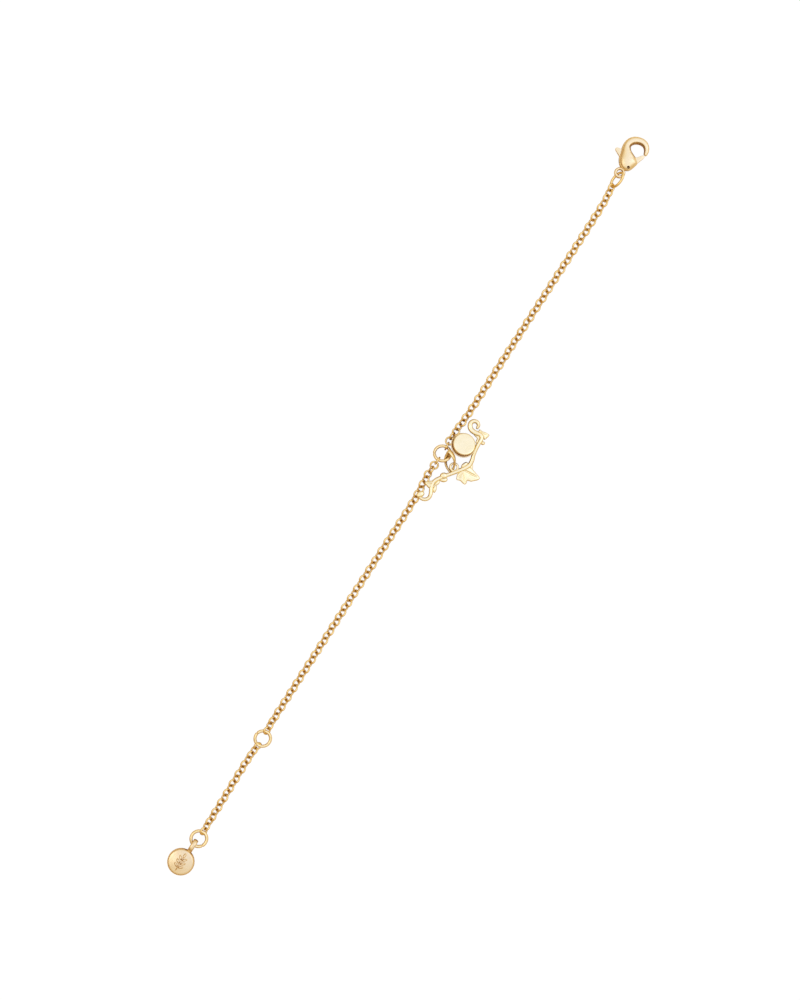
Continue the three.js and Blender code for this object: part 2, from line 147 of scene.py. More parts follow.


# %% [markdown]
# ## Gold, six ways
# Gold plate is a metal: it has no colour of its own apart from its reflections, which it tints,
# and each further bounce between two pieces tints them again. That is why the gaps of a gold
# chain are brown and not grey. One recipe serves all the finishes. The clasp is satin: a fine
# grain spreads the light. The chain is bright drawn wire, and the jump rings and the bail are
# the same wire, a little paler. The charm is cast and tumbled, so it is bright with soft
# unevenness. The tag is duller, and the rivet's end is the dullest, with its colour darkened as
# painted shade for the bottom of its recess. Noise in Object coordinates shifts tint and
# roughness a little, because plate is never quite even, and a second, much finer noise is the
# surface's grain, as bump. In each piece's closed-in corners, which the Ambient Occlusion node
# finds on the piece by itself, the colour is darkened towards brown: painted shade.


# %% Shades along a ramp
def shaded(nodes, shades):
    """A Color Ramp node with a stop at every (position, colour) of the shades."""
    made = nodes.new("ShaderNodeValToRGB")
    for _ in shades[2:]:
        made.color_ramp.elements.new(0.5)
    for stop, (position, colour) in zip(made.color_ramp.elements, shades):
        stop.position, stop.color = position, (*colour, 1)
    return made


# %% The gold recipe
PAINTED_SHADE_BROWN = (0.34, 0.1, 0.008, 1)  # painted shade: the brown that the plate's colour goes to in its closed-in corners
DEEP_AT, PALE_AT = 0.3, 0.7  # the noise values where the tint reaches its two ends
SHUT_IN, WIDE_OPEN = 0.25, 0.75  # the openness of a corner at full painted shade, and of plate with none
SHELTER_SAMPLES = 8


def gold(name, pale, deep, roughness, mottle, grain, grain_depth, crevice, corner_shade):
    """A plated metal. mottle and grain are noise scales in Object coordinates (per metre), and
    grain_depth is the bump's height in metres. Colours are pale and deep ends of the tint.
    The last argument is the share of painted brown shade in corners closed in within crevice."""
    material = bpy.data.materials.new(name)
    material.use_nodes = True
    nodes, links = material.node_tree.nodes, material.node_tree.links
    metal = nodes["Principled BSDF"]
    metal.inputs["Metallic"].default_value = 1.0
    place = nodes.new("ShaderNodeTexCoord").outputs["Object"]

    def noise(scale, detail):
        """Noise over the piece's own coordinates."""
        made = nodes.new("ShaderNodeTexNoise")
        made.inputs["Scale"].default_value = scale
        made.inputs["Detail"].default_value = detail
        links.new(place, made.inputs["Vector"])
        return made.outputs["Fac"]

    tint = shaded(nodes, [(DEEP_AT, deep), (PALE_AT, pale)])
    blotches = noise(mottle, 3)
    links.new(blotches, tint.inputs["Fac"])

    # Painted shade: the colour goes towards brown where the Ambient Occlusion node finds the piece
    # closed in round itself.
    shelter = nodes.new("ShaderNodeAmbientOcclusion")
    shelter.samples = SHELTER_SAMPLES
    shelter.only_local = True
    shelter.inputs["Distance"].default_value = crevice
    unshaded_share = nodes.new("ShaderNodeMapRange")
    unshaded_share.inputs["From Min"].default_value = SHUT_IN
    unshaded_share.inputs["From Max"].default_value = WIDE_OPEN
    unshaded_share.inputs["To Min"].default_value = 1 - corner_shade
    links.new(shelter.outputs["AO"], unshaded_share.inputs["Value"])
    corner_shaded = nodes.new("ShaderNodeMix")
    corner_shaded.data_type = "RGBA"
    factor, shade_socket, plated = (corner_shaded.inputs[n] for n in (0, 6, 7))  # its colour sockets
    shade_socket.default_value = PAINTED_SHADE_BROWN
    links.new(unshaded_share.outputs["Result"], factor)
    links.new(tint.outputs["Color"], plated)
    links.new(corner_shaded.outputs[2], metal.inputs["Base Color"])

    polish = nodes.new("ShaderNodeMapRange")
    polish.inputs["To Min"].default_value, polish.inputs["To Max"].default_value = roughness
    links.new(blotches, polish.inputs["Value"])
    links.new(polish.outputs["Result"], metal.inputs["Roughness"])

    bump = nodes.new("ShaderNodeBump")
    bump.inputs["Distance"].default_value = grain_depth
    links.new(noise(grain, 2), bump.inputs["Height"])
    links.new(bump.outputs["Normal"], metal.inputs["Normal"])
    return material


# %% The finishes
# The last number of each finish is its share of painted shade in closed-in corners.
FINISH = {
    "satin_gold": gold(
        "satin_plate", pale=(0.95, 0.8, 0.51), deep=(0.92, 0.75, 0.44), roughness=(0.34, 0.42),
        mottle=500, grain=9000, grain_depth=6e-6, crevice=5 * MM, corner_shade=0.9,
    ),
    "chain_gold": gold(
        "wire_plate", pale=(0.97, 0.76, 0.36), deep=(0.92, 0.68, 0.27), roughness=(0.18, 0.26),
        mottle=700, grain=6000, grain_depth=4e-6, crevice=1.4 * MM, corner_shade=0.95,
    ),
    "cast_gold": gold(
        "cast_plate", pale=(0.97, 0.85, 0.54), deep=(0.94, 0.8, 0.46), roughness=(0.2, 0.3),
        mottle=600, grain=2600, grain_depth=1.4e-5, crevice=1.2 * MM, corner_shade=0.9,
    ),
    "ring_finish": gold(
        "ring_plate", pale=(0.97, 0.8, 0.45), deep=(0.92, 0.72, 0.35), roughness=(0.24, 0.32),
        mottle=500, grain=6000, grain_depth=4e-6, crevice=1.0 * MM, corner_shade=0.7,
    ),
    # The pin's colour is darkened as painted shade for the bottom of its recess; its rougher,
    # duller finish is its own.
    "pin_finish": gold(
        "pin_dull_and_shaded", pale=(0.66, 0.5, 0.24), deep=(0.55, 0.4, 0.17), roughness=(0.4, 0.5),
        mottle=500, grain=6000, grain_depth=4e-6, crevice=0.5 * MM, corner_shade=0.5,
    ),
    "tag_finish": gold(
        "tag_plate", pale=(0.88, 0.71, 0.43), deep=(0.84, 0.65, 0.37), roughness=(0.28, 0.36),
        mottle=420, grain=9000, grain_depth=6e-6, crevice=0.8 * MM, corner_shade=0.9,
    ),
}
print("finishes:", ", ".join(material.name for material in FINISH.values()))

# %% [markdown]
# ## Curves and sections
# Nearly every piece is a wire: a path, and a section carried along it. The path goes smoothly
# through a few table rows. The section is an oval that can be squared off towards a rounded
# rectangle, for wire that was rolled flat.


# %% Curves and sections
def through(rows, count):
    """A smooth curve through table rows, one column at a time: between two rows it is the cubic
    whose slope at each row is half the step between that row's neighbours."""
    rows = np.asarray(rows, float)
    slopes = np.gradient(rows, axis=0)
    at = np.linspace(0, len(rows) - 1, count)
    k = np.minimum(at.astype(int), len(rows) - 2)
    t = (at - k)[:, None]
    start, end = rows[k], rows[k + 1]
    leave, arrive = slopes[k], slopes[k + 1]
    swing = t * t * (3 - 2 * t)
    return start + (end - start) * swing + leave * t * (1 - t) ** 2 - arrive * t * t * (1 - t)


def section(sides, squareness=2.0):
    """Points round a section one unit wide and high each way: x = cos and y = sin of the turn,
    both raised to the power 2 / squareness. 2 is a circle, and 4 nearly a rounded square."""
    turn = 2 * np.pi * np.arange(sides) / sides
    circle = np.stack([np.cos(turn), np.sin(turn)], axis=-1)
    return np.sign(circle) * np.abs(circle) ** (2 / squareness)


def unit(vectors):
    """The vectors, each divided by its length."""
    return vectors / np.linalg.norm(vectors, axis=-1, keepdims=True)


def carry(path, side, up, shape, wide, high):
    """A section carried along a path: path + side * wide * x + up * high * y for every point of
    the path and every point (x, y) of the section."""
    across = (wide * np.ones(len(path)))[:, None, None] * shape[None, :, :1] * side[:, None, :]
    above = (high * np.ones(len(path)))[:, None, None] * shape[None, :, 1:] * up[:, None, :]
    return path[:, None, :] + across + above


def level_frame(path, loop=False):
    """Directions square to a path that runs about level: side is level, and up is square to
    side and to the way the path runs."""
    if loop:
        ahead = unit(np.roll(path, -1, axis=0) - np.roll(path, 1, axis=0))
    else:
        ahead = unit(np.gradient(path, axis=0))
    side = unit(np.stack([-ahead[:, 1], ahead[:, 0], np.zeros(len(path))], axis=-1))
    return ahead, side, np.cross(ahead, side)


def turned(points, about_x=0.0, about_y=0.0, about_z=0.0):
    """Points turned about X, then Y, then Z, by degrees."""
    for angle, (a, b) in ((about_x, (1, 2)), (about_y, (2, 0)), (about_z, (0, 1))):
        c, s = np.cos(np.radians(angle)), np.sin(np.radians(angle))
        moved = points.copy()
        moved[..., a] = c * points[..., a] - s * points[..., b]
        moved[..., b] = s * points[..., a] + c * points[..., b]
        points = moved
    return points


# %% [markdown]
# ## The rolo chain
# A rolo chain is made of plain round links, each turned a quarter turn from the last, and it
# lies on its corners, so the links stand at 45 degrees to the table. One link is a ring: a
# circle of wire. Modelling it once and copying it 130 times by hand or with an Array modifier
# would do, but a chain has to follow its route and turn as it goes, and next to the centre ring,
# which the charm holds up, the last link stands upright. So all links of a run are computed
# together, as one array with an axis for the links. A lying link also shifts a little towards
# its raised side, to the left and to the right in turn, and that gives the run its zigzag. A
# link has few faces, since there are many.

# %% The links of a run
LINK = {"middle_radius": 0.865, "wire_radius": 0.225, "pitch": 1.307, "steps": 24, "sides": 7}
UPRIGHT, LEANING, QUARTER = 90, 45, 90  # degrees
EASING = 4  # the links it takes to settle from standing to lying
ROUTE_STEPS = 2000
SWAY = 0.13  # how far a lying link shifts towards its raised side, so that a run zigzags
# Only at the centre ring, which the charm holds up, do the links stand: first end, last end.
STANDING = {"chain_upper": (1, 0), "chain_lower": (0, 1), "chain_extender": (0, 0)}


def chain_links(route, standing):
    """Rings of wire along a route of [x, y, z] rows. For a turn t round the ring and s round its
    wire, a point is centre + (R + r cos s)(cos t ahead + sin t across) + r sin s normal, where
    across leans by a roll that grows a quarter turn from link to link. Away from the ends the
    centre shifts sideways by SWAY sin 2 roll."""
    fine = through(route, ROUTE_STEPS)
    run = np.concatenate([[0], np.cumsum(np.linalg.norm(np.diff(fine, axis=0), axis=1))])
    last = round(run[-1] / LINK["pitch"])
    number = np.arange(last + 1)
    centre = np.stack([np.interp(number * run[-1] / last, run, fine[:, n]) for n in range(3)], -1)
    ahead, side, up = level_frame(centre)
    roll = LEANING + QUARTER * number
    from_first = np.clip(1 - number / EASING, 0, 1) * (UPRIGHT - LEANING) * standing[0]
    short_way = (UPRIGHT - roll[-1] + QUARTER) % (2 * QUARTER) - QUARTER
    from_last = np.clip(1 - (last - number) / EASING, 0, 1) * short_way * standing[1]
    roll = np.radians(roll + from_first + from_last)[:, None]
    across = side * np.cos(roll) + up * np.sin(roll)
    settled = np.clip(np.minimum(number, last - number) / EASING, 0, 1)[:, None]
    centre = centre + SWAY * settled * np.sin(2 * roll) * side
    normal = np.cross(ahead, across)
    t = 2 * np.pi * np.arange(LINK["steps"])[:, None, None] / LINK["steps"]
    s = 2 * np.pi * np.arange(LINK["sides"])[None, :, None] / LINK["sides"]
    outward = np.cos(t) * ahead[:, None, None] + np.sin(t) * across[:, None, None]
    middle, wire = LINK["middle_radius"], LINK["wire_radius"]
    grid = outward * (middle + wire * np.cos(s)) + normal[:, None, None] * wire * np.sin(s)
    return [skin(link, loop=True) for link in grid + centre[:, None, None]]


# %% The three runs
CHAINS = {
    # x, y, z of the middle of the chain
    "chain_upper": [
        [17.42, -1.55, 1.1], [18.7, -1.42, 1.06], [20, -1.38, 1.03], [21.4, -1.45, 0.9],
        [23, -1.55, 0.82], [28, -1.8, 0.82], [40, -1.83, 0.82], [54, -1.9, 0.82],
        [68, -2.0, 0.82], [80, -2.07, 0.82], [85, -2.02, 0.82], [88.28, -1.62, 1.06],
    ],
    "chain_lower": [
        [-60.52, -1.66, 0.86], [-59.3, -1.6, 0.83], [-58, -1.56, 0.82], [-48, -1.59, 0.82],
        [-34, -1.65, 0.82], [-20, -1.71, 0.82], [-8, -1.81, 0.82], [0, -1.85, 0.82],
        [4, -1.8, 0.82], [7, -1.55, 0.82], [8.4, -1.43, 0.95], [9.4, -1.38, 1.04],
        [11, -1.38, 1.24], [12.1, -1.46, 1.55], [13.34, -1.5, 1.84],
    ],
    "chain_extender": [
        [-88.02, -1.75, 0.9], [-86.8, -1.72, 0.84], [-85, -1.7, 0.82], [-82, -1.68, 0.82],
        [-75, -1.56, 0.82], [-69, -1.5, 0.82], [-66, -1.6, 0.83], [-64.74, -1.76, 0.86],
    ],
}
for node, route in CHAINS.items():
    links = chain_links(route, STANDING[node])
    piece(f"{node}_links", mesh_from(node, links), "chain_gold", node)
    print(" ", len(links), "links")

# %% [markdown]
# ## Jump rings and the clasp's oval link
# A jump ring is a turn of round wire cut from a coil, and its two cut ends meet in a fine seam.
# The seam is what tells it from a cast ring, so the ring is modelled open by a hair, with
# softened ends. It could be a torus primitive with a slot cut in it, but a path that stops
# short gives the same with no boolean. The oval link at the clasp is soldered shut, so it has
# no seam.

# %% Rings
RING_STEPS, RING_SIDES = 96, 20
SEAM = {"half_gap": 0.01, "thinned": 0.4, "reach": 0.09}  # mm, a share of the wire, mm


def ends_crowded(count):
    """Shares from 0 to 1 that lie closer together towards both ends: (1 - cos(pi n)) / 2."""
    return (1 - np.cos(np.linspace(0, np.pi, count))) / 2


def wire_ring(centre, long, short, wire, seam=None, high=None, **turns):
    """A ring of round wire of that radius: centre + (long cos t, short sin t, 0), turned. seam
    is the direction of the cut in degrees, or None for a closed ring. At the cut the wire is
    thinner by the share thinned * exp(-(distance / reach)^2), as filing leaves it. high is the
    wire's half height where it isn't round."""
    if seam is None:
        t = 2 * np.pi * np.arange(RING_STEPS) / RING_STEPS
    else:
        half_gap = SEAM["half_gap"] / long
        spread = half_gap + (2 * np.pi - 2 * half_gap) * ends_crowded(RING_STEPS)
        to_cut = long * np.minimum(spread, 2 * np.pi - spread)
        wire = wire * (1 - SEAM["thinned"] * np.exp(-((to_cut / SEAM["reach"]) ** 2)))
        t = np.radians(seam) + spread
    path = np.stack([long * np.cos(t), short * np.sin(t), 0 * t], axis=-1)
    _, side, up = level_frame(path, loop=seam is None)
    grid = carry(path, side, up, section(RING_SIDES), wire, wire if high is None else high)
    return skin(turned(grid, **turns) + centre, loop=seam is None)


# %% The rings and the oval link
RINGS = {
    # middle, radius to the wire's middle, wire radius, cut, and lean about X and Y
    "centre_ring": ([15.4, -1.58, 1.433], 1.865, 0.35, 120, -9.95, 17.8),
    "extender_ring": ([-62.64, -1.83, 0.82], 1.81, 0.36, 75, 12, 0),
    "end_ring": ([-90.13, -1.76, 0.87], 1.82, 0.37, -124, 9, 2.7),
}
for node, (middle, radius, wire, seam, about_x, about_y) in RINGS.items():
    ring = wire_ring(middle, radius, radius, wire, seam, about_x=about_x, about_y=about_y)
    mesh = mesh_from(node, [ring])
    piece(f"{node}_wire", mesh, "chain_gold", node, crease=50, finish="ring_finish")

link = wire_ring([90.48, -1.77, 1.31], 1.94, 1.12, 0.3, about_x=-38, about_y=-21, about_z=-8)
piece("clasp_link_wire", mesh_from("clasp_link", [link]), "chain_gold", "clasp_link")

# %% [markdown]
# ## The bail
# The bail is a pinched band that joins the charm's loop to the centre ring: a pointed oval from
# above, standing in a steep plane. The wire is flat, and it gets broader towards the ring. A
# plain tube has nowhere to say which way the flat side faces, so here the section is carried
# with two directions worked out from the plane: one in the plane and one square to it. One arm is
# hammered broader, like an apron, where it turns under the ring.

# %% The bail
BAIL = {
    "middle": [14.738, -4.051, 1.782], "half_length": 2.365, "half_width": 1.052, "taper": 0.376,
    "heading": 38.7, "slope_x": 0.956, "slope_y": -0.298,
    "half_thickness": 0.27, "narrow": 0.28, "broad": 0.6, "apron": 0.32, "apron_at": 48,
    "broadens_from": -0.2, "broadens_over": 0.8, "squareness": 1.9,
}


def bail_skin(steps=160, sides=20):
    """A band along long * L cos t + wide * W sin t (1 - taper cos^2 t), lifted onto the plane
    z = slope_x x + slope_y y, with its broad side square to that plane. It broadens with cos t,
    by 3 u^2 - 2 u^3 for a u that goes from 0 to 1, and the apron adds cos^3 of the turn from it."""
    t = 2 * np.pi * np.arange(steps) / steps
    heading = np.radians(BAIL["heading"])
    along = BAIL["half_length"] * np.cos(t)
    beside = BAIL["half_width"] * np.sin(t) * (1 - BAIL["taper"] * np.cos(t) ** 2)
    x = along * np.cos(heading) - beside * np.sin(heading)
    y = along * np.sin(heading) + beside * np.cos(heading)
    path = np.stack([x, y, BAIL["slope_x"] * x + BAIL["slope_y"] * y], axis=-1)
    normal = unit(np.array([[-BAIL["slope_x"], -BAIL["slope_y"], 1.0]]))
    ahead = unit(np.roll(path, -1, axis=0) - np.roll(path, 1, axis=0))
    upper = np.clip((np.cos(t) - BAIL["broadens_from"]) / BAIL["broadens_over"], 0, 1)
    upper = upper * upper * (3 - 2 * upper)
    apron = BAIL["apron"] * np.clip(np.cos(t - np.radians(BAIL["apron_at"])), 0, 1) ** 3
    half_width = BAIL["narrow"] + (BAIL["broad"] - BAIL["narrow"]) * upper + apron
    path = path - normal * apron[:, None]
    side, up = np.cross(normal, ahead), normal + 0 * path
    shape = section(sides, BAIL["squareness"])
    band = carry(path, side, up, shape, BAIL["half_thickness"], half_width)
    return skin(band + BAIL["middle"], loop=True)


bail = mesh_from("charm_bail", [bail_skin()])
piece("charm_bail_band", bail, "chain_gold", "charm_bail", finish="ring_finish")

# %% [markdown]
# ## The clasp's body
# A lobster clasp is a small casting, swollen at the shoulder and running out into a hook. It is
# a loft: each section is an oval between a point on the outer edge and one on the inner edge,
# with its own thickness, and the table's rows follow the casting round from the eye to the tip.
# Box modelling with a Subdivision Surface would do as well, but the two edges can be read off a
# real clasp directly. The slot that the lever swings in is cut out with a Boolean modifier, as
# the maker mills it after casting, and then the modifier is applied.

# %% The body's loft
CLASP_ROWS = [
    # outer x, outer y, inner x, inner y, half thickness
    [93.2, -1.45, 93.2, -2, 0.4],
    [93.4, -0.7, 93.45, -2.72, 1.02],
    [94.1, 0.1, 94.05, -3.22, 1.34],
    [94.9, 0.63, 95.1, -3.58, 1.48],
    [95.7, 0.86, 96.05, -3.75, 1.46],
    [96.2, 0.97, 96.6, -3.2, 1.4],
    [96.7, 1.11, 97.05, -2.6, 1.34],
    [97.2, 1.27, 97.45, -1.72, 1.26],
    [97.8, 1.39, 97.92, -0.92, 1.16],
    [98.5, 1.43, 98.58, -0.4, 1.03],
    [99.5, 1.28, 99.25, -0.55, 0.93],
    [100.5, 0.73, 99.75, -1.05, 0.88],
    [101.3, -0.3, 100.05, -1.65, 0.82],
    [101.7, -1.7, 100.15, -2.2, 0.76],
    [101.55, -2.95, 100.08, -2.78, 0.7],
    [100.9, -3.9, 99.75, -3.25, 0.62],
    [100, -4.45, 99.3, -3.56, 0.55],
    [99.1, -4.62, 98.92, -3.7, 0.46],
    [98.62, -4.5, 98.7, -3.86, 0.33],
    [98.52, -4.35, 98.58, -4, 0.16],
]
HOOK_STARTS, HOOK_BLEND = 0.36, 0.08  # shares of the rows: the hook's start, and its coming in
HOOK_BEVEL = 0.45  # how far the hook's inner wall leans back at its top, of the half width
BODY_SQUARENESS, WALL_SQUARENESS = 2.2, 8


def clasp_loft(steps=300, sides=96):
    """Sections between the edges: middle + x * (outer - middle), and y * thickness up, with
    (x, y) on an oval. The hook's inner half is squarer, so its inner wall stands upright."""
    rows = through(CLASP_ROWS, steps)
    outer, inner, half = rows[:, 0:2], rows[:, 2:4], rows[:, 4:5]
    oval, square = section(sides, BODY_SQUARENESS), section(sides, WALL_SQUARENESS)
    hook = np.clip((np.linspace(0, 1, steps) - HOOK_STARTS) / HOOK_BLEND, 0, 1)[:, None, None]
    shape = oval + hook * (oval[:, :1] < 0) * (square - oval)
    recede = 1 - hook * HOOK_BEVEL * (shape[..., :1] < 0) * np.clip(shape[..., 1:], 0, 1)
    shape = shape * np.concatenate([recede, 1 + 0 * recede], axis=-1)
    flat = ((outer + inner) / 2)[:, None] + shape[..., :1] * ((outer - inner) / 2)[:, None]
    height = PIVOT[2] + shape[..., 1] * half
    return skin(np.concatenate([flat, height[..., None]], axis=-1))


# %% The lever's outline, and the space it sweeps
LEVER_CORNERS = np.array([
    # from the rivet: gate, then thumb tab
    [2.05, -1.27], [3.15, -1.67], [4.19, -1.97], [4.45, -1.41], [2.97, -0.32],
    [2.71, 1.89], [2.93, 3.59], [2.73, 4.67], [2.41, 4.89], [2.06, 4.77], [1.24, 3.14],
])
LEVER = {
    "half_thickness": 0.42, "edge": 0.14, "bevel": 0.06, "boss": 0.46, "bore": 0.31,
    "opens": 22, "slot_half": 0.5, "clearance": 0.07,
}


def rounded(corners, cut=0.16, passes=3):
    """An outline whose corners are cut off at that share of each side, again and again, which
    ends in a smooth curve close to the corners."""
    outline = np.asarray(corners, float)
    for _ in range(passes):
        after = np.roll(outline, -1, axis=0)
        cuts = [(1 - cut) * outline + cut * after, cut * outline + (1 - cut) * after]
        outline = np.stack(cuts, axis=1).reshape(-1, 2)
    return outline


def lever_outline():
    """The corners, closed round the rivet by an arc."""
    arc = np.radians(np.arange(190, 311, 20))
    boss = LEVER["boss"] * np.stack([np.cos(arc), np.sin(arc)], axis=-1)
    return rounded(np.vstack([boss, LEVER_CORNERS]))


def slot_cutter():
    """A flat prism over the swept outline. Seen from the rivet, its reach in each direction is
    the longest reach of the lever there at any opening, plus the clearance."""
    outline = lever_outline()
    heading = np.arctan2(outline[:, 1], outline[:, 0])
    reach = np.hypot(outline[:, 0], outline[:, 1])
    around = np.linspace(-np.pi, np.pi, 360, endpoint=False)
    opened = np.radians(np.linspace(0, LEVER["opens"], 23))[:, None]
    order = np.argsort(heading)
    reaches = np.interp(around - opened, heading[order], reach[order], period=2 * np.pi)
    swept = reaches.max(axis=0) + LEVER["clearance"]
    ring = np.stack([np.cos(around), np.sin(around), 0 * around], axis=-1) * swept[:, None]
    lift = np.array([0, 0, LEVER["slot_half"]])
    core = ring * 0.02  # a small ring for the flat ends to close on
    return skin(np.stack([core - lift, ring - lift, ring + lift, core + lift]) + PIVOT)


# %% Turned shapes, and cutting
def lathe(profile, middle, sides):
    """A profile of [radius, z] rows turned about a vertical axis through the middle."""
    profile = np.asarray(profile, float)
    turn = 2 * np.pi * np.arange(sides) / sides
    ring = np.stack([np.cos(turn), np.sin(turn)], axis=-1)
    flat = profile[:, None, :1] * ring
    height = np.repeat(profile[:, None, 1:], sides, axis=1)
    return np.concatenate([flat, height], axis=-1) + middle


def carved(mesh, cutters):
    """The mesh with every cutter's space taken out of it, by Boolean modifiers applied in turn."""
    whole = placed(mesh.name, mesh)
    tools = [placed("cutter", mesh_from("cutter", [cutter])) for cutter in cutters]
    for tool in tools:
        cut = whole.modifiers.new("cut", "BOOLEAN")
        cut.operation, cut.solver, cut.object = "DIFFERENCE", "EXACT", tool
    depsgraph = bpy.context.evaluated_depsgraph_get()
    made = bpy.data.meshes.new_from_object(whole.evaluated_get(depsgraph))
    for used in [whole, *tools]:
        bpy.data.objects.remove(used)
    return made


# %% The body, slotted and drilled, and its eye
HOLE = [
    # radius, z from the rivet's middle
    [0.01, -2], [0.52, -2], [0.31, -1.1], [0.31, 1.1], [0.52, 2], [0.01, 2],
]
drill = skin(lathe(HOLE, PIVOT, 48))
body_mesh = carved(mesh_from("clasp", [clasp_loft()]), [slot_cutter(), drill])
piece("clasp_body_casting", body_mesh, "satin_gold", "clasp_body", crease=32)
eye = wire_ring([92.14, -1.41, PIVOT[2]], 0.965, 0.965, 0.34, high=0.5)
piece("clasp_eye", mesh_from("clasp_eye", [eye]), "satin_gold", "clasp_body")

# %% [markdown]
# ## The lever and its rivet
# The lever is stamped from flat stock, and tumbling rounds its edges. A Bevel modifier on an
# extruded outline would round them too. Here the same thing is a profile carried round the
# outline: in from the edge on top, over a quarter circle, down the side and back underneath.
# The innermost row, above and below, is a circle round the rivet, and the skin closes through it
# as a loop: that is the lever's hole. A Boolean cut was tried first, and it left nothing of the
# plate, so always look at how many faces a cut has left.


# %% Plates with rounded edges
EDGE_ROWS = 8


def plate_rows(half_thickness, edge, bevel, inner):
    """The profile's rows for a plate: [share of the outline, inset, height]. The edge is a
    quarter of an oval, bevel wide and edge high."""
    bend = np.radians(np.linspace(90, 0, EDGE_ROWS))
    top = [[share, bevel, half_thickness] for share in inner]
    top += [[1, bevel * (1 - np.cos(a)), half_thickness - edge * (1 - np.sin(a))] for a in bend]
    return np.array(top + [[share, inset, -height] for share, inset, height in top[::-1]])


def plate(outline, half_thickness, edge, bevel, inner):
    """Rows of a plate over an outline that can be seen whole from its origin. Each row is the
    outline moved in along its normal by the inset, then shrunk to its share, and the shares of
    inner are the top's rows. The sign of the outline's area tells which side of its edge is
    outside."""
    ahead = unit(np.roll(outline, -1, axis=0) - np.roll(outline, 1, axis=0))
    (x, y), (next_x, next_y) = outline.T, np.roll(outline, -1, axis=0).T
    way_round = np.sign((x * next_y - y * next_x).sum())
    outward = way_round * np.stack([ahead[:, 1], -ahead[:, 0]], axis=-1)
    share, inset, height = plate_rows(half_thickness, edge, bevel, inner).T[:, :, None, None]
    flat = share * (outline - inset * outward)
    return np.concatenate([flat, height + 0 * flat[..., :1]], axis=-1)


# %% The lever
rows = plate(lever_outline(), LEVER["half_thickness"], LEVER["edge"], LEVER["bevel"], (0.03,))
for rim in (rows[0], rows[-1]):
    rim[:, :2] = LEVER["bore"] * unit(rim[:, :2])
lever_mesh = mesh_from("clasp_lever", [skin(rows + PIVOT, loop=True)])
bodies = frame["record"]["behaviour"]["bodies"]
gate = next(body for body, members in bodies.items() if "clasp_lever" in members)
piece("clasp_lever_plate", lever_mesh, "satin_gold", "clasp_lever", body=gate, crease=50)

# %% The rivet
RIVET_PROFILE = [
    # radius, z from the rivet's middle
    [0.02, -0.6], [0.14, -0.59], [0.22, -0.55], [0.26, -0.47],
]
RIVET_PROFILE += [[radius, -height] for radius, height in RIVET_PROFILE[::-1]]
rivet = mesh_from("clasp_rivet", [skin(lathe(RIVET_PROFILE, PIVOT, 32))])
piece("clasp_rivet_pin", rivet, "satin_gold", "clasp_rivet", finish="pin_finish")

# %% [markdown]
# ## The end tag
# The tag is a cast pebble with a domed face and a flat back, and a wire eye soldered to its rim.
# The dome is a profile turned about its axis. On it stands a small sprig in relief, and that is
# added to the height of the dome, point by point, as a formula of x and y: for each leaf an oval
# hill. The grid has to be fine enough to hold it. A displacement texture would give the same
# relief, but a formula needs no image and stays sharp.

# %% The tag
TAG = {"middle": np.array([-96.8, -1.1, 0.0]), "rings": 170, "sides": 224}
TAG_PROFILE = [
    # radius, z
    [0.02, 0], [1.4, 0], [2.4, 0], [2.82, 0.14], [3.06, 0.45], [3.15, 0.9], [3.14, 1.4],
    [3.06, 1.72], [2.88, 1.93], [2.56, 2.04], [2.1, 2.11], [1.5, 2.19], [0.75, 2.26], [0.02, 2.28],
]
SPRIG = [
    # x, y, half length, half width, heading in degrees
    [1.85, 0, 0.62, 0.29, 0], [1.02, 0.58, 0.6, 0.27, 42], [1.02, -0.58, 0.6, 0.27, -42],
    [0.06, 0.66, 0.62, 0.29, 48], [0.06, -0.66, 0.62, 0.29, -48],
    [-0.9, 0.66, 0.58, 0.27, 54], [-0.9, -0.66, 0.58, 0.27, -54], [-0.25, 0, 2.1, 0.11, 0],
]
SPRIG_HEIGHT = 0.26
RELIEF_FROM, RELIEF_OVER = 1.2, 0.4  # the heights over which the relief comes in up the side


def hills(x, y, rows):
    """The highest of several oval hills at each point. With d the distance from a hill's middle,
    measured in half lengths and half widths, its height is 1 - d^4, and 0 outside it."""
    rows = np.asarray(rows, float)
    cx, cy, length, width, heading = (rows[:, n] for n in range(5))
    dx, dy = x[..., None] - cx, y[..., None] - cy
    c, s = np.cos(np.radians(heading)), np.sin(np.radians(heading))
    far = ((dx * c + dy * s) / length) ** 2 + ((dy * c - dx * s) / width) ** 2
    return np.clip(1 - far**2, 0, None).max(axis=-1)


# %% The tag's pebble and eye
pebble = lathe(through(TAG_PROFILE, TAG["rings"]), [0, 0, 0], TAG["sides"])
face = np.clip((pebble[..., 2] - RELIEF_FROM) / RELIEF_OVER, 0, 1)
pebble[..., 2] += SPRIG_HEIGHT * face * hills(pebble[..., 0], pebble[..., 1], SPRIG)
tag_mesh = mesh_from("tag_pebble", [skin(pebble + TAG["middle"])])
piece("tag_pebble", tag_mesh, "satin_gold", "tag", finish="tag_finish")
tag_eye = wire_ring([-92.2, -1.45, 1.2], 1.42, 0.9, 0.26, high=0.56, about_x=90)
piece("tag_eye_wire", mesh_from("tag_eye", [tag_eye]), "satin_gold", "tag", finish="tag_finish")

# %% [markdown]
# ## The charm
# The charm is one casting: a vine stem that winds past a round disc, with leaves, a knot, buds
# and a small loop for the bail. It lies a little tipped, because the disc and the tail rest on
# the chain. It is easiest to model it level, about the middle of its disc, and to tip the points
# of every part in the same way at the end. The parts sink into each other, as they do in wax.

# %% The charm's place
CHARM_MIDDLE = np.array([19.6, -4.7, 0.806])
CHARM_TIP = {"about_x": np.degrees(np.arctan(0.095)), "about_y": np.degrees(np.arctan(0.048))}


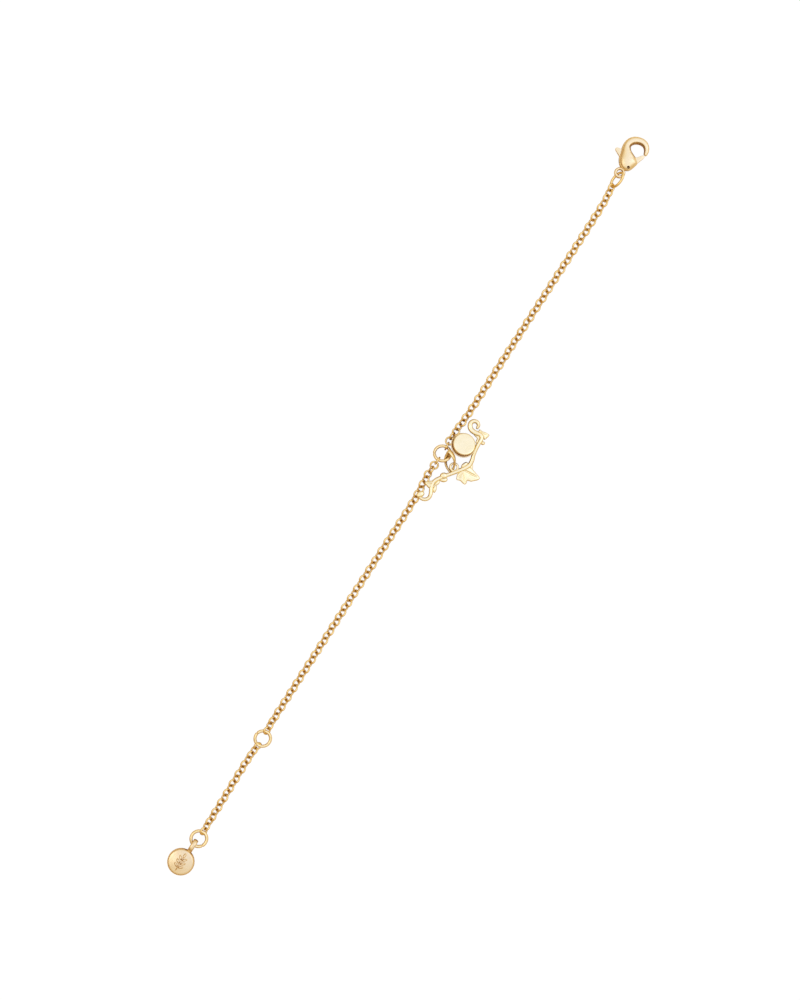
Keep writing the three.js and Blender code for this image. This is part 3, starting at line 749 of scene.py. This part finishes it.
def charm_part(name, grids):
    """A part of the charm from level grids, tipped and set down in its place."""
    skins = [skin(turned(grid, **CHARM_TIP) + CHARM_MIDDLE, loop=loop) for grid, loop in grids]
    piece(name, mesh_from(name, skins), "cast_gold", "charm")


# %% [markdown]
# ### Stem and strand
# The stem is a wire whose width changes along it, so each table row carries a half width and a
# half height after its place. Its ends are rounded off: a few extra rows go on past each end
# while the section shrinks, as the rows of a ball do.


# %% Tapered wires
DOME_ANGLES = np.array([82, 62, 42, 20])  # degrees, from the tip of an end to the wire


def rod(rows, count=220, sides=24, squareness=2.2):
    """A wire through rows of [x, y, z, half width, half height], with domed ends. Past an end
    the row at angle a is moved on by r sin a and shrunk to cos a."""
    table = through(rows, count)
    path, wide, high = table[:, :3], table[:, 3], table[:, 4]
    ahead, side, up = level_frame(path)
    bend = np.radians(DOME_ANGLES)
    extra = len(bend)

    def dome(end, sign, order):
        """The places and the sizes of the rows past one end."""
        reach = min(wide[end], high[end]) * np.sin(bend[order])[:, None]
        return path[end] + sign * reach * ahead[end], np.cos(bend[order])

    first, shrink_first = dome(0, -1, slice(None))
    last, shrink_last = dome(-1, 1, slice(None, None, -1))
    path = np.vstack([first, path, last])
    wide = np.concatenate([wide[0] * shrink_first, wide, wide[-1] * shrink_last])
    high = np.concatenate([high[0] * shrink_first, high, high[-1] * shrink_last])
    side = np.vstack([np.repeat(side[:1], extra, 0), side, np.repeat(side[-1:], extra, 0)])
    up = np.vstack([np.repeat(up[:1], extra, 0), up, np.repeat(up[-1:], extra, 0)])
    return carry(path, side, up, section(sides, squareness), wide, high)


# %% The stem and the strand
STEM_ROWS = [
    # x, y, z, half width, half height
    [5.15, -0.5, 0.3, 0.32, 0.34],
    [5.75, -0.42, 0.42, 0.4, 0.4],
    [6.2, 0.2, 0.5, 0.44, 0.46],
    [6.05, 0.95, 0.5, 0.48, 0.46],
    [5.38, 1.4, 0.5, 0.52, 0.46],
    [4.58, 1.2, 0.5, 0.56, 0.46],
    [4.05, 0.6, 0.55, 0.58, 0.46],
    [3.88, -0.2, 0.65, 0.58, 0.46],
    [3.98, -1.1, 0.75, 0.54, 0.46],
    [4.12, -1.8, 0.8, 0.5, 0.46],
    [3.95, -2.35, 0.85, 0.5, 0.46],
    [3.4, -2.62, 0.9, 0.5, 0.46],
    [2.4, -2.66, 0.95, 0.48, 0.46],
    [0.9, -2.8, 0.9, 0.46, 0.46],
    [-0.7, -3.1, 0.75, 0.45, 0.46],
    [-1.9, -3.5, 0.6, 0.5, 0.46],
    [-3.2, -3.55, 0.52, 0.52, 0.46],
    [-4.4, -3.0, 0.5, 0.5, 0.46],
    [-5.5, -2.22, 0.5, 0.48, 0.46],
    [-6.7, -1.35, 0.5, 0.46, 0.46],
    [-7.9, -0.42, 0.5, 0.46, 0.46],
    [-9.0, 0.38, 0.5, 0.46, 0.46],
    [-10.3, 1.18, 0.5, 0.46, 0.46],
    [-11.2, 1.38, 0.5, 0.46, 0.46],
    [-12.3, 1.12, 0.5, 0.46, 0.46],
    [-13.5, 0.5, 0.5, 0.46, 0.46],
    [-14.4, 0.32, 0.5, 0.45, 0.46],
    [-15.15, 0.62, 0.5, 0.43, 0.44],
    [-15.6, 1.3, 0.5, 0.4, 0.42],
    [-15.7, 2.05, 0.5, 0.34, 0.36],
]
STRAND_ROWS = [
    [3.95, -0.5, 0.5, 0.28, 0.28],
    [3.55, -0.9, 0.5, 0.32, 0.28],
    [3.45, -1.7, 0.55, 0.36, 0.28],
    [3.0, -2.1, 0.65, 0.36, 0.28],
    [2.2, -2.15, 0.8, 0.32, 0.28],
]
charm_part("charm_stem", [(rod(STEM_ROWS, count=420), False)])
charm_part("charm_strand", [(rod(STRAND_ROWS, count=60), False)])

# %% [markdown]
# ### Disc and loop
# The disc is turned: a flange, a straight wall, a rounded edge and a flat face with a hair of a
# dome. A quite flat face would mirror one spot of the room and look like paper, and the slight
# dome spreads the reflection, as hand polishing does. It is set with one side raised, so on that
# side its wall and flange show.

# %% The disc and the loop
DISC = {"middle": [0.05, 0.2, 1.63], "lean": 14, "heading": 13}
DISC_PROFILE = [
    # radius, z from the disc's middle height
    [0.02, -0.75], [1.4, -0.75], [2.74, -0.75], [2.86, -0.72], [2.91, -0.65], [2.9, -0.55],
    [2.84, -0.47], [2.76, -0.45], [2.68, -0.5], [2.61, -0.6], [2.56, -0.5], [2.58, -0.1],
    [2.61, 0.45], [2.58, 0.57], [2.51, 0.66], [2.4, 0.71], [2.24, 0.73], [1.6, 0.745],
    [0.8, 0.75], [0.02, 0.752],
]
disc = lathe(through(DISC_PROFILE, 160), [0, 0, 0], 128)
disc = turned(disc, about_y=DISC["lean"], about_z=DISC["heading"]) + DISC["middle"]
charm_part("charm_disc", [(disc, False)])


def flat_ring(centre, radius, wire, steps=64, sides=18):
    """A level ring of round wire, for the charm's own frame. For a turn t round the ring and s
    round its wire, a point is centre + (radius + wire cos s)(cos t, sin t) + wire sin s up."""
    t = 2 * np.pi * np.arange(steps)[:, None] / steps
    s = 2 * np.pi * np.arange(sides)[None, :] / sides
    out = radius + wire * np.cos(s)
    return np.stack([out * np.cos(t), out * np.sin(t), wire * np.sin(s) + 0 * t], -1) + centre


charm_part("charm_loop", [(flat_ring([-5.5, -0.8, 0.554], 0.89, 0.26), True)])

# %% [markdown]
# ### Leaves
# A leaf is a plate with an edge, but its top is not flat: veins are pressed into it and the
# lobes swell between them. So the plate's rows are the same as the lever's, and then the top
# gets its relief from a formula: each vein is a groove that fades with the distance from its
# line. The leaf also falls away from its foot a little.


# %% Leaves
def groove(x, y, vein):
    """exp(-(distance from the segment / width)^2) for a vein [x0, y0, x1, y1, width, depth],
    times its depth."""
    x0, y0, x1, y1, width, depth = vein
    dx, dy = x1 - x0, y1 - y0
    along = np.clip(((x - x0) * dx + (y - y0) * dy) / (dx * dx + dy * dy), 0, 1)
    away = np.hypot(x - x0 - along * dx, y - y0 - along * dy)
    return VEIN_DEPTH * depth * np.exp(-((away / width) ** 2))


def resampled(outline, count):
    """The same outline with points at even distances."""
    closed = np.vstack([outline, outline[:1]])
    run = np.concatenate([[0], np.cumsum(np.hypot(*np.diff(closed, axis=0).T))])
    at = np.linspace(0, run[-1], count, endpoint=False)
    return np.stack([np.interp(at, run, closed[:, n]) for n in range(2)], axis=-1)


# %% The leaves' tables
LEAVES = {
    "charm_leaf_three_lobed": {
        "heart": [-5.3, -4.0], "foot": [-4.7, -3.1], "rise": 0.25, "toward": [0.2, -1],
        "outline": [
            [-3.45, -3.7], [-3.56, -4.81], [-3.85, -5.87], [-4.24, -7.4], [-5.0, -7.2],
            [-5.66, -6.47], [-6.19, -5.98], [-6.4, -5.06], [-7.0, -5.3], [-7.56, -5.15],
            [-7.55, -4.5], [-7.36, -3.71], [-7.68, -2.85], [-7.07, -2.5], [-6.3, -2.25],
            [-4.7, -2.9],
        ],
        "veins": [
            [-4.8, -3.3, -4.4, -6.9, 0.2, 0.2], [-5.0, -3.3, -7.3, -4.9, 0.18, 0.16],
            [-5.2, -3.1, -7.4, -3.0, 0.18, 0.16],
        ],
    },
    "charm_leaf_top": {
        "heart": [4.65, -2.6], "foot": [4.4, -1.6], "rise": 0.3, "toward": [0.3, -1],
        "outline": [
            [5.2, -1.0], [5.08, -1.93], [5.32, -2.7], [5.36, -3.82], [4.75, -3.8], [3.6, -3.45],
            [4.1, -2.7], [4.0, -1.9], [4.2, -1.2],
        ],
        "veins": [[4.5, -1.4, 5.2, -3.6, 0.16, 0.14]],
    },
    "charm_leaf_small": {
        "heart": [-11.7, 2.0], "foot": [-11.4, 1.5], "rise": 0.28, "toward": [-0.3, 1],
        "outline": [
            [-10.75, 1.5], [-10.94, 2.03], [-12.0, 3.18], [-12.45, 2.75], [-12.79, 1.4],
            [-12.0, 1.1],
        ],
        "veins": [[-11.5, 1.5, -12.0, 2.9, 0.14, 0.12]],
    },
}
LEAF = {"half_thickness": 0.28, "edge": 0.27, "bevel": 0.33, "droop": 0.12, "swell": 0.06}
VEIN_DEPTH = 0.8  # of the depths in the tables
TOP_FROM = 0.1  # the relief is only on the part of a plate above this height


# %% The leaves
def leaf(heart, foot, rise, toward, outline, veins):
    """A plate over the leaf's outline. Its top is lifted by the swell towards the heart and
    lowered by the veins, and all of it falls with the distance from its foot."""
    edge = resampled(rounded(outline), 260) - heart
    inner = np.linspace(0.03, 0.96, 22)
    grid = plate(edge, LEAF["half_thickness"], LEAF["edge"], LEAF["bevel"], inner)
    grid[..., :2] += heart
    x, y, z = (grid[..., n] for n in range(3))
    share = np.clip(np.hypot(x - heart[0], y - heart[1]) / np.hypot(*edge.T), 0, 1)
    relief = LEAF["swell"] * (1 - share**2) - sum(groove(x, y, vein) for vein in veins)
    fall = unit(np.array(toward, float))
    out = np.clip((x - foot[0]) * fall[0] + (y - foot[1]) * fall[1], 0, None)
    lift = rise + LEAF["half_thickness"] - LEAF["droop"] * out
    grid[..., 2] = z + lift + np.where(z > TOP_FROM, relief * (1 - share**6), 0)
    return grid


for name, leaf_facts in LEAVES.items():
    charm_part(name, [(leaf(**leaf_facts), False)])

# %% [markdown]
# ### Buds, knot and berry
# The small round parts are ovals with a pointed tip, each with a crease along it where two
# petals of the bud meet. They are all one formula with a row of numbers each.

# %% Buds
BUDS = {
    # x, y, z, half length, half width, half height, heading, how pointed, depth of the crease
    "charm_leaflet_bend": [-3.73, -2.56, 0.55, 0.92, 0.46, 0.4, -19, 1.0, 0.05],
    "charm_berry": [2.8, -3.46, 0.75, 0.5, 0.42, 0.4, -60, 0.8, 0.0],
    "charm_knot": [-8.43, 0.14, 0.6, 0.88, 0.74, 0.5, -57, 0.9, 0.0],
    "charm_bead": [-9.2, -0.32, 0.4, 0.9, 0.6, 0.4, -57, 0.9, 0.06],
    "charm_leaf_stalk": [-3.15, -4.15, 0.38, 0.85, 0.36, 0.26, 32, 1.0, 0.04],
    "charm_leaflet_inner": [-10.68, 0.5, 0.45, 0.84, 0.38, 0.34, -15, 1.1, 0.05],
    "charm_leaflet_outer": [-12.12, 0.26, 0.45, 0.93, 0.42, 0.34, 20, 1.1, 0.05],
    "charm_tail_bud": [-14.98, 2.45, 0.5, 0.98, 0.72, 0.46, -33, 1.0, 0.08],
}


CREASE_WIDTH = 0.16  # of the half width
TIP = 0.02  # the angle that is left open at each tip, and closed with a fan


def bud(x, y, z, half_length, half_width, half_height, heading, pointed, crease):
    """An oval of revolution drawn along its length: at angle a from one tip the section has the
    size sin(a) ^ pointed, and the top is lowered along the middle line by the crease."""
    a = np.linspace(TIP, np.pi - TIP, 40)[:, None]
    s = 2 * np.pi * np.arange(32)[None, :] / 32
    size = np.sin(a) ** pointed
    across, above = size * np.cos(s), size * np.sin(s)
    dip = crease * size * np.exp(-((across / CREASE_WIDTH) ** 2)) * (above > 0)
    grid = [half_length * np.cos(a) + 0 * s, half_width * across, half_height * above - dip]
    return turned(np.stack(grid, axis=-1), about_z=heading) + [x, y, z]


for name, row in BUDS.items():
    charm_part(name, [(bud(*row), False)])

# %% [markdown]
# ## Table, light and camera
# Small gold things are shown on white, under a big soft light and with a dim room round them:
# the metal mirrors the light on its tops and the dim room on its flanks, and that is what draws
# its shape. The table is white to the eye, but its colour in the metal's reflections is
# painted: a tan that goes dark brown where the pieces close it in, painted shade. The Light
# Path node tells the two apart. The lights are area lights, since a soft edge in a reflection
# needs a broad source.

# %% What the camera sees, apart from what the metal mirrors
def seen_apart(tree, mirrored, seen):
    """Joins two shader outputs by Light Path: rays from the camera get the second one. Returns
    the joined shader's output."""
    ray = tree.nodes.new("ShaderNodeLightPath")
    which = tree.nodes.new("ShaderNodeMixShader")
    tree.links.new(ray.outputs["Is Camera Ray"], which.inputs["Fac"])
    tree.links.new(mirrored, which.inputs[1])
    tree.links.new(seen, which.inputs[2])
    return which.outputs["Shader"]


# %% The table
TABLE_HALF = 3.0  # metres
TABLE_SHELTER = 6 * MM  # how near a piece has to be for painted shade on the table in a reflection
TABLE_SHADES = [
    # how much of the sky the table sees there, and its colour in a reflection: painted shade when
    # shut in
    (0.0, (0.2, 0.05, 0.005)), (0.35, (0.34, 0.13, 0.02)), (0.6, (0.6, 0.39, 0.16)),
    (0.85, (0.8, 0.64, 0.38)), (1.0, (0.87, 0.74, 0.48)),
]
table_mesh = bpy.data.meshes.new("table")
corners = np.array([[-1, -1, 0], [1, -1, 0], [1, 1, 0], [-1, 1, 0]]) * TABLE_HALF
table_mesh.from_pydata(corners, [], [[0, 1, 2, 3]])
table = placed("table", table_mesh)
paper = bpy.data.materials.new("white_table")
paper.use_nodes = True
paper_nodes, paper_links = paper.node_tree.nodes, paper.node_tree.links
seen = paper_nodes["Principled BSDF"]
seen.inputs["Base Color"].default_value = (0.08, 0.08, 0.08, 1)
seen.inputs["Roughness"].default_value = 0.9
seen.inputs["Emission Color"].default_value = (1, 1, 1, 1)
seen.inputs["Emission Strength"].default_value = 0.95
# The table as the metal mirrors it: a painted colour, darkened towards brown near the pieces as
# painted shade by the Ambient Occlusion node.
mirrored = paper_nodes.new("ShaderNodeBsdfDiffuse")
shelter = paper_nodes.new("ShaderNodeAmbientOcclusion")
shelter.inputs["Distance"].default_value = TABLE_SHELTER
open_sky = shaded(paper_nodes, TABLE_SHADES)
paper_links.new(shelter.outputs["AO"], open_sky.inputs["Fac"])
paper_links.new(open_sky.outputs["Color"], mirrored.inputs["Color"])
surface = seen_apart(paper.node_tree, mirrored.outputs["BSDF"], seen.outputs["BSDF"])
paper_links.new(surface, paper_nodes["Material Output"].inputs["Surface"])
table_mesh.materials.append(paper)
print("table:", [round(v, 2) for v in table.dimensions], "m")

# %% The room
ROOM_SHADES = [
    # how far towards the bright side, and the share of the strength there
    (0.0, (0.26, 0.12, 0.025)), (0.25, (0.48, 0.34, 0.16)), (0.55, (0.65, 0.57, 0.42)),
    (0.8, (0.73, 0.74, 0.8)), (1.0, (0.74, 0.79, 1.04)),
]
BRIGHT_SIDE = (0.3, -0.15, 0.94)
SKY_STRENGTH = 1.37
room = bpy.data.worlds.new("room")
bpy.context.scene.world = room
room.use_nodes = True
room_nodes, room_links = room.node_tree.nodes, room.node_tree.links
direction = room_nodes.new("ShaderNodeTexCoord")
towards = room_nodes.new("ShaderNodeVectorMath")
towards.operation = "DOT_PRODUCT"
towards.inputs[1].default_value = BRIGHT_SIDE
room_links.new(direction.outputs["Generated"], towards.inputs[0])
shade = shaded(room_nodes, ROOM_SHADES)
room_links.new(towards.outputs["Value"], shade.inputs["Fac"])
sky = room_nodes["Background"]
room_links.new(shade.outputs["Color"], sky.inputs["Color"])
sky.inputs["Strength"].default_value = SKY_STRENGTH
backdrop = room_nodes.new("ShaderNodeBackground")
backdrop.inputs["Color"].default_value = (0.93, 0.93, 0.93, 1)
surface = seen_apart(room.node_tree, sky.outputs["Background"], backdrop.outputs["Background"])
room_links.new(surface, room_nodes["World Output"].inputs["Surface"])
print("room:", len(ROOM_SHADES), "shades, strength", SKY_STRENGTH)

# %% The lights
LIGHTS = {
    # heading and height in degrees, distance and size in metres, radiance
    "key": (-50, 48, 0.8, 0.4, 0.6),
    "fill": (120, 55, 0.8, 0.4, 0.9),
}
COOL_WHITE = (0.9, 0.96, 1.15)
for name, (heading, height, distance, size, radiance) in LIGHTS.items():
    lamp = bpy.data.lights.new(name, "AREA")
    lamp.shape, lamp.size = "SQUARE", size
    lamp.energy = radiance * np.pi * size**2
    lamp.color = COOL_WHITE
    holder = placed(name, lamp)
    holder.location = turned(np.array([distance, 0.0, 0.0]), about_y=-height, about_z=heading)
    holder.rotation_euler = holder.location.to_track_quat("Z", "Y").to_euler()
    print(f"{name} light: {lamp.energy:.3f} W at {[round(v, 2) for v in holder.location]} m")

# %% The camera
CAMERA = {"x": 1.05, "y": 0.94, "height": 451.0, "turn": -57.6, "lens": 69.98}  # mm, degrees
NEAR, FAR = 0.01, 20  # metres
view = bpy.data.cameras.new("camera")
view.lens, view.clip_start, view.clip_end = CAMERA["lens"], NEAR, FAR
camera = placed("camera", view)
camera.location = (np.array([CAMERA["x"], CAMERA["y"], CAMERA["height"]]) + DRAWING) * MM
camera.rotation_euler = (0, 0, np.radians(CAMERA["turn"]))
bpy.context.scene.camera = camera
bpy.context.scene.view_settings.view_transform = "Standard"
print("camera:", CAMERA["height"], "mm above the table, straight down")
